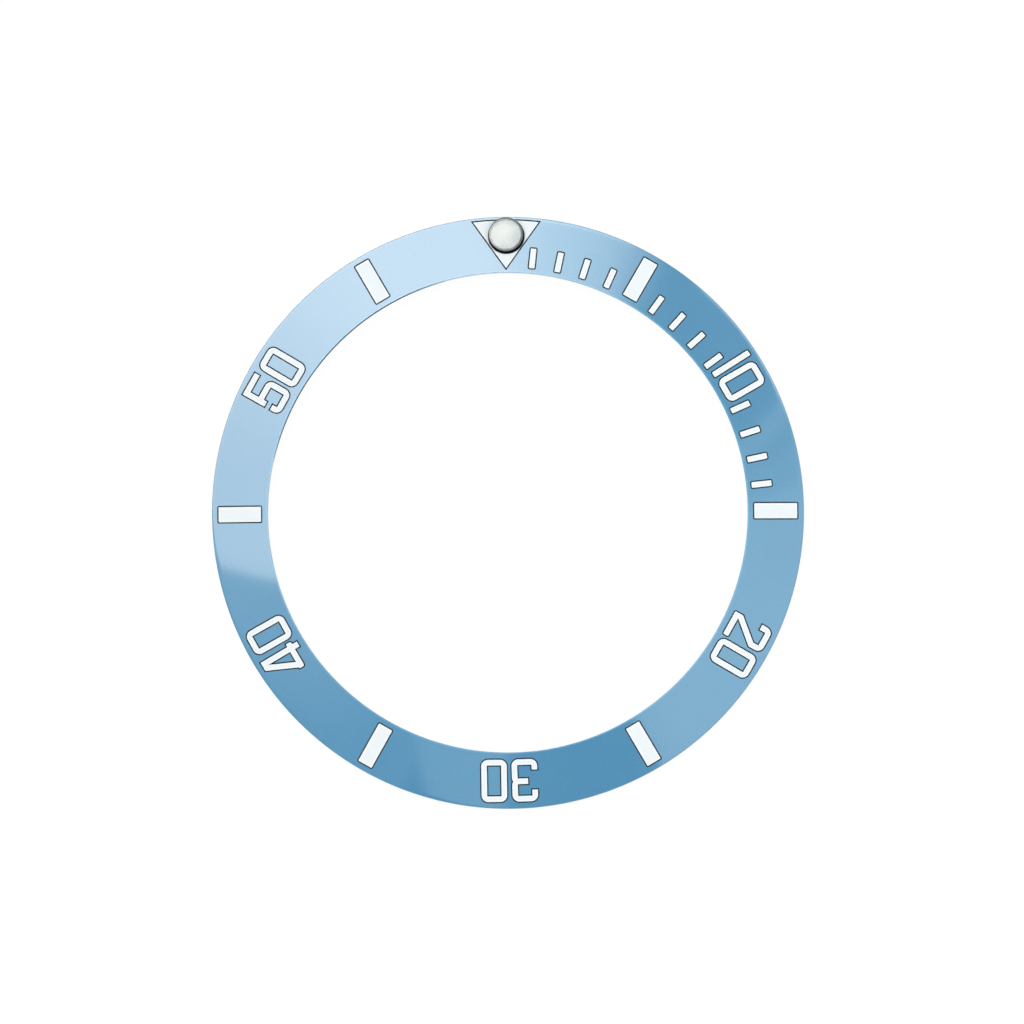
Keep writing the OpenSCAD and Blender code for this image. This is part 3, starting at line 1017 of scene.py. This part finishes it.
# Cards: light, azimuths of start and end clockwise, softness of both, and slant of both
HORIZON_CARDS = [
    ((0.22, 0.25, 0.23), 22, 90, 8, 30),
    ((0.70, 0.63, 0.63), 90, 225, 30, 30),
]
LOW_CARDS = [
    ((0.98, 1.15, 1.15), 38, 68, 8, 8),
    ((0.70, 0.80, 0.65), 354, 21, 8, 8),
]
LOWEST_CARDS = [
    ((0.36, 0.42, 0.36), 264, 350, 8, 8),
]
BELT_CARDS = [
    ((0.20, 0.25, 0.26), 25.3, 150.0, 6, 1.2),
    ((0.20, 0.26, 0.24), 66.0, 150.0, 2.5, 1.2, -1.3),
    ((0.25, 0.28, 0.26), 66.2, 70.5, 2.5, 5, -1.3, -1.3),
    ((0.16, 0.22, 0.22), 74.8, 150.0, 4, 1.2, -1.0),
    ((0.34, 0.34, 0.30), 82.4, 150.0, 6, 1.2, -1.08),
    ((0.09, 0.10, 0.13), 99, 145, 14, 8),
    ((0.43, 0.57, 0.55), 183.9, 203.0, 2.5, 3.5, 0.0, -2.0),
    ((1.53, 1.38, 1.28), 306, 359.8, 58, 16),
    ((0.34, 0.44, 0.50), 359.9, 14.5, 16, 14),
    ((0.00, 0.12, 0.18), 14, 27, 10, 8),
]
# The bright side of the belt: light, azimuth, degrees past it from which the light rises
# and at which it is full, and slant. These cards fade and end together.
BRIGHT_CARDS = [
    ((0.17, 0.26, 0.29), 203.0, -1.75, 1.75, -2.0),
    ((0.45, 0.46, 0.43), 234.6, -20, 18, 2.5),
    ((1.70, 1.66, 1.57), 259.2, -1.0, 1.0, 1.25),
]
FADE_START = 5
FADE_LENGTH = 20
FADE_LEAST = 0.70
BRIGHT_END = 25.2
BRIGHT_END_SOFT = 12.5


def make_floor():
    """Plain pale floor that keeps the shadow of the object and is white where it is seen."""
    side = FLOOR_SIDE / 2
    corners = [(x * side, y * side, -FLOOR_DROP) for x, y in ((-1, -1), (1, -1), (1, 1), (-1, 1))]
    mesh = bpy.data.meshes.new("floor")
    mesh.from_pydata(corners, [], [(0, 1, 2, 3)])
    material = bpy.data.materials.new("floor")
    tree = Tree(material)
    shader = tree.nodes["Principled BSDF"]
    tree.feed(shader.inputs["Base Color"], FLOOR_TONE)
    tree.feed(shader.inputs["Roughness"], 0.9)
    tree.feed(shader.inputs["Specular IOR Level"], 0.0)
    glow = tree.outputs("ShaderNodeEmission", Strength=FLOOR_GLOW)
    path = tree.nodes.new("ShaderNodeLightPath").outputs
    reflected = tree.math("MAXIMUM", path["Is Glossy Ray"], path["Is Transmission Ray"])
    seen = tree.math("MAXIMUM", path["Is Camera Ray"], reflected)
    mix = tree.nodes.new("ShaderNodeMixShader")
    tree.feed(mix.inputs["Fac"], tree.math("MULTIPLY", seen, FLOOR_GLOW_SHARE))
    tree.feed(mix.inputs[1], shader.outputs["BSDF"])
    tree.feed(mix.inputs[2], glow["Emission"])
    tree.feed(tree.nodes["Material Output"].inputs["Surface"], mix.outputs["Shader"])
    mesh.materials.append(material)
    new_object("floor", mesh)


def make_key():
    """Round softbox that faces the object. Its reflection is left to the world."""
    lamp = bpy.data.lights.new("key", "AREA")
    lamp.shape = "DISK"
    lamp.size = 2 * KEY_RADIUS
    lamp.energy = KEY_RADIANCE * math.pi * math.pi * KEY_RADIUS ** 2
    key = new_object("key", lamp)
    polar = math.radians(KEY_POLAR)
    out = compass(KEY_AZIMUTH, KEY_DISTANCE * math.sin(polar))
    key.location = (*out, KEY_DISTANCE * math.cos(polar))
    key.rotation_euler = key.location.to_track_quat("Z", "Y").to_euler()
    key.visible_camera = False
    key.visible_glossy = False


class Sky(Tree):
    """Light cards round the object, by azimuth and by angle from overhead, in degrees."""

    def __init__(self, world):
        super().__init__(world)
        direction = self.nodes.new("ShaderNodeTexCoord").outputs["Generated"]
        x, y, z = self.outputs("ShaderNodeSeparateXYZ", Vector=direction)
        self.azimuth = self.math("DEGREES", self.math("ARCTAN2", x, y))
        self.polar = self.math("DEGREES", self.math("ARCCOSINE", z))
        self.above = self.math("SUBTRACT", self.polar, SLANT_LEVEL)
        self.total = None

    def soft(self, value, start, end):
        return self.ramp(value, start, end, kind="SMOOTHSTEP")

    def row(self, start, end):
        """Mask of a row of cards, between two angles from overhead."""
        return self.product(self.soft(self.polar, *start), self.soft(self.polar, *end))

    def beyond(self, azimuth, slant=0.0):
        """Degrees clockwise from an azimuth, from -180 to 180. A slanted line turns with height."""
        turn = self.math("SUBTRACT", self.azimuth, azimuth)
        if slant:
            turn = self.math("SUBTRACT", turn, self.math("MULTIPLY", self.above, slant))
        turn = self.math("ADD", turn, 180.0)
        return self.math("SUBTRACT", self.math("FLOORED_MODULO", turn, 360.0), 180.0)

    def edge(self, azimuth, softness, slant=0.0):
        """Rises clockwise across an azimuth. With a negative softness it falls."""
        return self.soft(self.beyond(azimuth, slant), -softness / 2, softness / 2)

    def wedge(self, start, end, start_soft, end_soft, start_slant=0.0, end_slant=0.0):
        """Mask between two azimuths, clockwise."""
        rise = self.edge(start, start_soft, start_slant)
        return self.product(rise, self.edge(end, -end_soft, end_slant))

    def product(self, *values):
        level = values[0]
        for value in values[1:]:
            level = self.math("MULTIPLY", level, value)
        return level

    def add(self, light, *masks):
        """Adds a card whose light is held by the product of its masks."""
        card = self.nodes.new("ShaderNodeVectorMath")
        card.operation = "SCALE"
        self.feed(card.inputs["Vector"], light)
        self.feed(card.inputs["Scale"], self.product(*masks))
        if self.total is None:
            self.total = card.outputs["Vector"]
        else:
            self.total = self.vector_math("ADD", self.total, card.outputs["Vector"])["Vector"]

    def add_cards(self, row, cards):
        for light, *ends in cards:
            self.add(light, row, self.wedge(*ends))


def make_world():
    """Soft cards on a belt round the object, a zenith light and a pale horizon."""
    world = bpy.data.worlds.new("studio")
    bpy.context.scene.world = world
    sky = Sky(world)
    sky.add(ZENITH_LIGHT, sky.soft(sky.polar, *ZENITH_END))
    # Horizon, which evens the light on the sides of the ring
    horizon = sky.soft(sky.polar, *HORIZON_START)
    sky.add(HORIZON_LIGHT, horizon)
    sky.add_cards(horizon, HORIZON_CARDS)
    # Low cards, which only the rolled edge of the face reflects
    sky.add_cards(sky.row(LOW_START, LOW_END), LOW_CARDS)
    sky.add_cards(sky.row(LOWEST_START, LOWEST_END), LOWEST_CARDS)
    # Belt of cards, which the face reflects
    belt = sky.row(BELT_START, BELT_END)
    sky.add(BELT_LIGHT, belt)
    sky.add_cards(belt, BELT_CARDS)
    fade = sky.ramp(sky.beyond(FADE_START), 0, FADE_LENGTH, low=1.0, high=FADE_LEAST)
    fading = sky.product(fade, sky.edge(BRIGHT_END, -BRIGHT_END_SOFT))
    for light, azimuth, start, end, slant in BRIGHT_CARDS:
        sky.add(light, belt, sky.soft(sky.beyond(azimuth, slant), start, end), fading)
    # The camera sees a plain white backdrop
    seen = sky.nodes.new("ShaderNodeLightPath").outputs["Is Camera Ray"]
    sky.feed(sky.nodes["Background"].inputs["Color"], sky.mixed(seen, sky.total, WHITE))


def make_camera():
    """Camera almost straight above the ring, at the photograph's angle and scale."""
    camera = bpy.data.cameras.new("camera")
    camera.sensor_width = CAMERA_SENSOR
    camera.lens = CAMERA_SENSOR * CAMERA_DISTANCE * SCALE / (PHOTO_SIDE * MM)
    # The camera aims beside the ring's middle, which is not in the middle of the photograph
    aside = (PHOTO_SIDE / 2 - MIDDLE_PIXEL[0]) / SCALE * MM
    upwards = (MIDDLE_PIXEL[1] - PHOTO_SIDE / 2) / SCALE * MM
    target = Vector((aside, upwards, RIM_HEIGHT * MM))
    lean = math.radians(CAMERA_LEAN)
    out = compass(CAMERA_LEAN_AZIMUTH, CAMERA_DISTANCE * math.sin(lean))
    place = target + Vector((*out, CAMERA_DISTANCE * math.cos(lean)))
    back = (place - target).normalized()
    roll = math.radians(CAMERA_ROLL)
    right = Vector((math.sin(roll), math.cos(roll), 0)).cross(back).normalized()
    turn = Matrix((right, back.cross(right), back)).transposed()
    item = new_object("camera", camera)
    item.matrix_world = Matrix.Translation(place) @ turn.to_4x4()
    bpy.context.scene.camera = item


def make_object():
    """Every piece of the object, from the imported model's nodes."""
    fills = [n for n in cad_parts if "inlay" in n or n.startswith("numeral")]
    outlines = {node: mark_outlines(node) for node in sorted(fills)}
    outlines["triangle_inlay"] = [whole_triangle(outlines["triangle_inlay"][0])]
    loops = [loop for found in outlines.values() for loop in found]
    # In the order of the ring's slots
    finishes = [polished_ceramic, ground_ceramic, dark_engraving_ceramic, painted_bore_highlight_ceramic, wall_ceramic]
    make_ring(loops, [finish() for finish in finishes])
    paint = white_paint()
    for node, found in outlines.items():
        make_paint(node, found, paint)
    make_cup(steel(), painted_shade_steel())
    make_lume(luminous())
    make_lens(clear())


make_object()
make_floor()
make_key()
make_world()
make_camera()
bpy.context.scene.view_settings.view_transform = "Standard"
